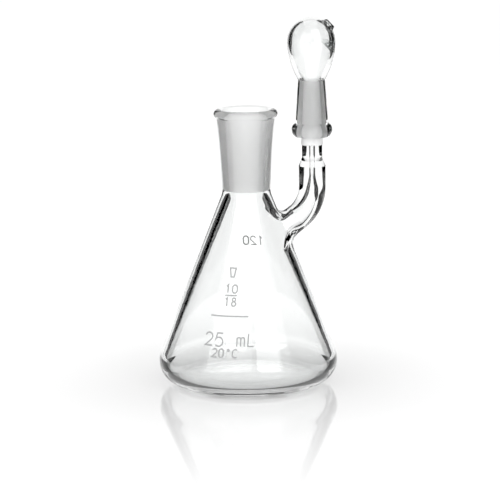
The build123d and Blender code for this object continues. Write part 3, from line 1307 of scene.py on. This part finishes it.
@dataclass(frozen=True)
class Card:
    """A flat card of the studio, seen only through or in the glass.

    Attributes:
        name: The card's name.
        middle: Its middle, with the camera towards -Y.
        size: Its width and length.
        turn: Its turn about each axis, in degrees.
        glow: How bright it is.
        mirrored: Whether polished surfaces reflect it.
    """

    name: str
    middle: tuple[float, float, float]
    size: tuple[float, float]
    turn: tuple[float, float, float]
    glow: float = 0.0
    mirrored: bool = True


@dataclass(frozen=True)
class Lamp:
    """A soft lamp of the studio.

    Attributes:
        name: The lamp's name.
        place: Where it stands, with the camera towards -Y.
        size: Its width and height.
        power: Its power, in watts.
        mirrored: Whether the glass shows it.
    """

    name: str
    place: tuple[float, float, float]
    size: tuple[float, float]
    power: float
    mirrored: bool


@dataclass
class Studio:
    """A white table in a white room, with dark cards and soft lamps that turn with the camera."""

    distance: float = 0.640
    height: float = 0.148
    aside: float = 0.00069
    pitch: float = radians(10.27)
    roll: float = radians(-0.655)
    lens: float = 195.98
    table_white: float = 0.3
    # The table's glow near the flask and far from it; the dimmer near level is painted shade round the
    # flask's foot.
    table_glow_with_painted_shade: tuple[float, float] = (0.36, 0.76)
    table_fade: tuple[float, float] = (0.025, 0.12)
    table_mirror: tuple[float, float] = (0.5, 0.0)
    table_rough: float = 0.05
    table_side: float = 30.0
    table_drop: float = 0.03 * MM
    overhead: tuple[float, float] = (0.35, 0.75)
    room_light: tuple[float, float] = (1.0, 0.75)
    lamp_aim: float = 0.045
    bounces: int = 32
    glossy_bounces: int = 16
    ring_inner: float = 18 * MM
    ring_outer: float = 27 * MM
    ring_height: float = -0.01 * MM
    # How bright the half ring under the heel is: a dim glow painted as the table's shade there.
    heel_shade_glow: float = 0.12
    lamps: tuple[Lamp, ...] = (
        Lamp("strip_lamp", (0.30, -0.52, 0.43), (0.4, 0.8), 2.4, mirrored=True),
        Lamp("fill_lamp", (-0.3, -0.5, 0.32), (0.8, 0.6), 3.2, mirrored=False),
    )
    cards: tuple[Card, ...] = (
        Card("card_left", (-0.17, 0.26, 0.25), (0.72, 0.5), (90, 0, 90)),
        Card("card_right", (0.17, 0.26, 0.25), (0.72, 0.5), (90, 0, 90)),
        Card("card_floor_left", (-0.133, -0.07, 0.0005), (0.22, 0.2), (0, 0, 0), mirrored=False),
        Card("card_floor_right", (0.133, -0.07, 0.0005), (0.22, 0.2), (0, 0, 0), mirrored=False),
        Card("card_front", (0, -0.30, 0.04), (0.6, 0.08), (90, 0, 0), mirrored=False),
    )

    def build(self) -> None:
        """Set up the camera, the room, the table, the cards and the lamps."""
        camera = self.set_camera()
        self.set_world()
        self.set_table()
        stand = self.set_stand(camera)
        self.hang_cards(stand)
        self.lay_painted_heel_shade(stand)
        self.hang_lamps(stand)
        scene = bpy.context.scene
        scene.view_settings.view_transform = "Standard"
        scene.cycles.max_bounces = self.bounces
        scene.cycles.transmission_bounces = self.bounces
        scene.cycles.glossy_bounces = self.glossy_bounces
        scene.cycles.transparent_max_bounces = self.bounces

    def set_camera(self) -> bpy.types.Object:
        """Place the camera.

        Returns:
            The camera.
        """
        bpy.ops.object.camera_add()
        camera = bpy.context.object
        camera.data.lens = self.lens
        turn = Matrix.Rotation(pi / 2 - self.pitch, 4, "X") @ Matrix.Rotation(self.roll, 4, "Z")
        camera.matrix_world = Matrix.Translation((self.aside, -self.distance, self.height)) @ turn
        camera.data.clip_start, camera.data.clip_end = 0.01, 100
        bpy.context.scene.camera = camera
        return camera

    def set_world(self) -> None:
        """A white room that is less bright overhead."""
        world = bpy.data.worlds.new("white_room")
        world.use_nodes = True
        nodes, links = world.node_tree.nodes, world.node_tree.links
        place = nodes.new("ShaderNodeTexCoord")
        split = nodes.new("ShaderNodeSeparateXYZ")
        fade = nodes.new("ShaderNodeMapRange")
        fade.interpolation_type = "SMOOTHSTEP"
        self.set_fade(fade, self.overhead, self.room_light)
        links.new(place.outputs["Generated"], split.inputs["Vector"])
        links.new(split.outputs["Z"], fade.inputs["Value"])
        links.new(fade.outputs["Result"], nodes["Background"].inputs["Strength"])
        nodes["Background"].inputs["Color"].default_value = (1, 1, 1, 1)
        bpy.context.scene.world = world

    def set_fade(
        self, fade: bpy.types.Node, reach: tuple[float, float], levels: tuple[float, float]
    ) -> None:
        """Set a fade from one level to another.

        Args:
            fade: The node that maps one range to another.
            reach: Where the fade starts and where it ends.
            levels: The level at its start and the level at its end.
        """
        for name, value in zip(("From Min", "From Max", "To Min", "To Max"), (*reach, *levels)):
            fade.inputs[name].default_value = value

    def set_table(self) -> None:
        """A glossy white table top, whose gloss fades away from the flask and whose glow is dimmer near
        it, a painted shade round the flask's foot.
        """
        bpy.ops.mesh.primitive_plane_add(size=self.table_side, location=(0, 0, -self.table_drop))
        table = bpy.context.object
        table.name = "table"
        material = bpy.data.materials.new("white_table")
        material.use_nodes = True
        shader = material.node_tree.nodes["Principled BSDF"]
        shader.inputs["Base Color"].default_value = (self.table_white,) * 3 + (1,)
        shader.inputs["Roughness"].default_value = self.table_rough
        shader.inputs["Emission Color"].default_value = (1, 1, 1, 1)
        nodes, links = material.node_tree.nodes, material.node_tree.links
        place = nodes.new("ShaderNodeTexCoord")
        reach = nodes.new("ShaderNodeVectorMath")
        reach.operation = "LENGTH"
        links.new(place.outputs["Object"], reach.inputs[0])
        # The dimmer glow near the flask paints shade on the table round its foot.
        fades = (("Emission Strength", self.table_glow_with_painted_shade), ("Specular IOR Level", self.table_mirror))
        for name, levels in fades:
            fade = nodes.new("ShaderNodeMapRange")
            self.set_fade(fade, self.table_fade, levels)
            links.new(reach.outputs["Value"], fade.inputs["Value"])
            links.new(fade.outputs["Result"], shader.inputs[name])
        table.data.materials.append(material)

    def set_stand(self, camera: bpy.types.Object) -> bpy.types.Object:
        """Set up the stand that turns about the flask with the camera.

        Args:
            camera: The camera.

        Returns:
            The stand, whose -Y side faces the camera.
        """
        bpy.ops.object.empty_add(location=(0, 0, 0))
        stand = bpy.context.object
        stand.name = "card_stand"
        follow = stand.constraints.new("LOCKED_TRACK")
        follow.target = camera
        follow.track_axis, follow.lock_axis = "TRACK_NEGATIVE_Y", "LOCK_Z"
        return stand

    def hang_cards(self, stand: bpy.types.Object) -> None:
        """Hang the flat cards.

        Args:
            stand: The stand that carries them.
        """
        for card in self.cards:
            bpy.ops.mesh.primitive_plane_add(size=1, rotation=[radians(a) for a in card.turn])
            sheet = bpy.context.object
            sheet.name = card.name
            sheet.scale = (*card.size, 1)
            sheet.location = card.middle
            sheet.data.materials.append(self.card_paint(card.name, card.glow))
            sheet.visible_camera = sheet.visible_diffuse = sheet.visible_shadow = False
            sheet.visible_glossy = card.mirrored
            sheet.parent = stand

    def hang_lamps(self, stand: bpy.types.Object) -> None:
        """Hang the soft lamps, aimed at the flask.

        Args:
            stand: The stand that carries them.
        """
        for lamp in self.lamps:
            towards = Vector((0, 0, self.lamp_aim)) - Vector(lamp.place)
            aim = towards.to_track_quat("-Z", "Y").to_euler()
            bpy.ops.object.light_add(type="AREA", location=lamp.place, rotation=aim)
            light = bpy.context.object
            light.name = lamp.name
            light.data.shape, light.data.energy = "RECTANGLE", lamp.power
            light.data.size, light.data.size_y = lamp.size
            light.visible_glossy = lamp.mirrored
            light.parent = stand

    def lay_painted_heel_shade(self, stand: bpy.types.Object) -> None:
        """Lay a dim half ring of painted shade under the near side of the heel, where the flask shades
        the table.

        Args:
            stand: The stand that carries it.
        """
        RingPen(Vector((0, 0, self.ring_height)), self.ring_inner).pull(0, self.ring_outer)
        bpy.ops.object.mode_set(mode="OBJECT")
        ring = bpy.context.object
        ring.name = "painted_heel_shade"
        select_faces(ring, lambda middle, normal: middle.y > 0)
        bpy.ops.object.mode_set(mode="EDIT")
        bpy.ops.mesh.delete(type="FACE")
        bpy.ops.object.mode_set(mode="OBJECT")
        # The half ring's dim paint is painted shade under the heel.
        ring.data.materials.append(self.card_paint(ring.name, self.heel_shade_glow))
        ring.visible_camera = ring.visible_diffuse = ring.visible_shadow = ring.visible_glossy = False
        ring.parent = stand

    def card_paint(self, name: str, glow: float) -> bpy.types.Material:
        """Make a card's even paint, which no lamp lights.

        Args:
            name: The card's name.
            glow: How bright the paint is.

        Returns:
            The new material.
        """
        material = bpy.data.materials.new(f"{name}_paint")
        material.use_nodes = True
        nodes, links = material.node_tree.nodes, material.node_tree.links
        nodes.remove(nodes["Principled BSDF"])
        paint = nodes.new("ShaderNodeEmission")
        paint.inputs["Color"].default_value = (1, 1, 1, 1)
        paint.inputs["Strength"].default_value = glow
        links.new(paint.outputs["Emission"], nodes["Material Output"].inputs["Surface"])
        return material


def main() -> None:
    """Build the flask and its studio."""
    logging.basicConfig(level=logging.INFO, format="%(name)s: %(message)s")
    for node in frame["nodes"].values():
        node.select_set(False)
    palette = Palette.mix()
    sizes = FlaskSizes()
    Studio().build()
    for part in (ConicalBody, NeckSocket, SideArm, CapillaryCone, CapSocket, CapBulb):
        piece = part(sizes).build(palette)
        log.info("%s has %d faces", piece.name, len(piece.data.polygons))
    Marks().dress(palette)


if __name__ == "__main__":
    main()
